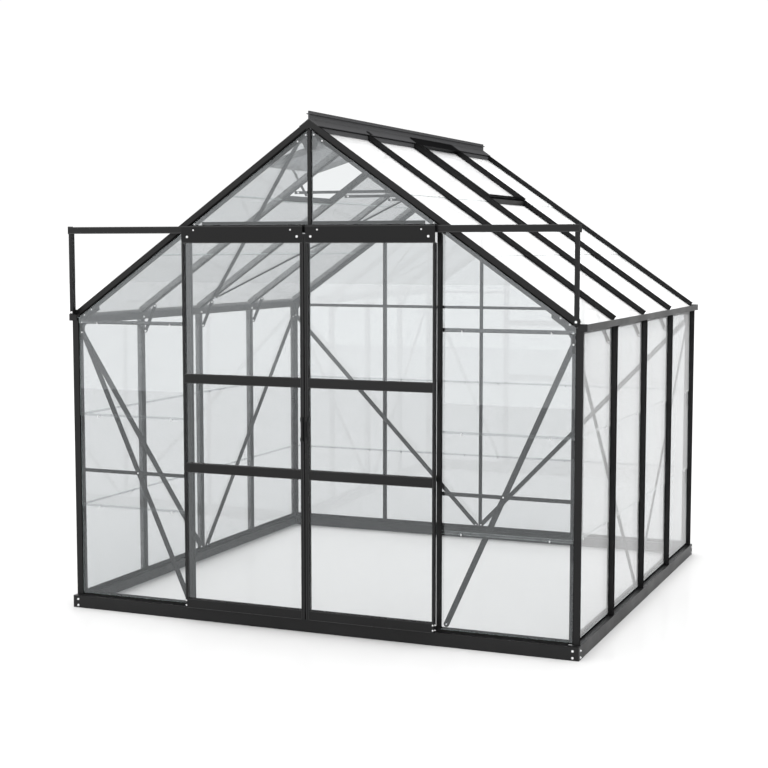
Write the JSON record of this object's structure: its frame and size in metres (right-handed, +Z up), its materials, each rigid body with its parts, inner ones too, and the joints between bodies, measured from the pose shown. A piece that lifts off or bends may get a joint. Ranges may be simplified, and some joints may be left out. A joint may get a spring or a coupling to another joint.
{
  "type": "greenhouse",
  "caption": "Gabled glass greenhouse on a low box-section plinth, with sliding double doors under an outside track, gutters, inner bracing and ridge vents, one of them open.",
  "frame": {"origin": "centre of the bounding box, at ground level under the plinth", "axes": "+X to the right when facing the doors from outside, -Y towards the viewer facing the doors, +Z up"},
  "size_m": [2.592, 2.511, 2.384],
  "materials": {
    "plinth": "satin",
    "frame": "satin",
    "straps": "satin",
    "glass": "clear",
    "fixings": "brushed"
  },
  "bodies": {
    "greenhouse": {"base_front": "plinth", "base_back": "plinth", "base_left": "plinth", "base_right": "plinth", "sill_front": "frame", "sill_back": "frame", "side_sills": "frame", "corner_posts": "frame", "side_bars_left": "frame", "side_bars_right": "frame", "eaves_beams": "frame", "gutter_left": "frame", "gutter_right": "frame", "door_jambs": "frame", "door_header": "frame", "gable_king_post": "frame", "front_glazing_rails": "frame", "back_posts": "frame", "back_glazing_rails": "frame", "gable_rafters_front": "frame", "gable_rafters_back": "frame", "roof_bars_left": "frame", "roof_bars_right": "frame", "ridge_beam": "frame", "ridge_flashings": "frame", "collar_ties": "straps", "knee_straps": "straps", "gusset_plates": "straps", "wall_braces": "straps", "gable_braces": "straps", "roof_braces": "straps", "glass_front": "glass", "glass_back": "glass", "glass_left": "glass", "glass_right": "glass", "roof_glass_left": "glass", "roof_glass_right": "glass", "vent_left_frame": "frame", "vent_left_glass": "glass", "vent_left_stay": "straps", "vent_right_frame": "frame", "vent_right_glass": "glass", "vent_cills": "frame", "door_rail": "frame", "rail_struts": "frame"},
    "door_left": {"door_left_stiles": "frame", "door_left_rails": "frame", "door_left_head": "frame", "door_left_glass": "glass", "door_left_hangers": "fixings", "door_left_handle": "frame"},
    "door_right": {"door_right_stiles": "frame", "door_right_rails": "frame", "door_right_head": "frame", "door_right_glass": "glass", "door_right_hangers": "fixings", "door_right_handle": "frame"}
  },
  "joints": [
    {"name": "door_left_slide", "type": "slide", "parent": "greenhouse", "child": "door_left", "axis": [-1, 0, 0], "range_m": [0, 0.6]},
    {"name": "door_right_slide", "type": "slide", "parent": "greenhouse", "child": "door_right", "axis": [1, 0, 0], "range_m": [0, 0.6]}
  ]
}
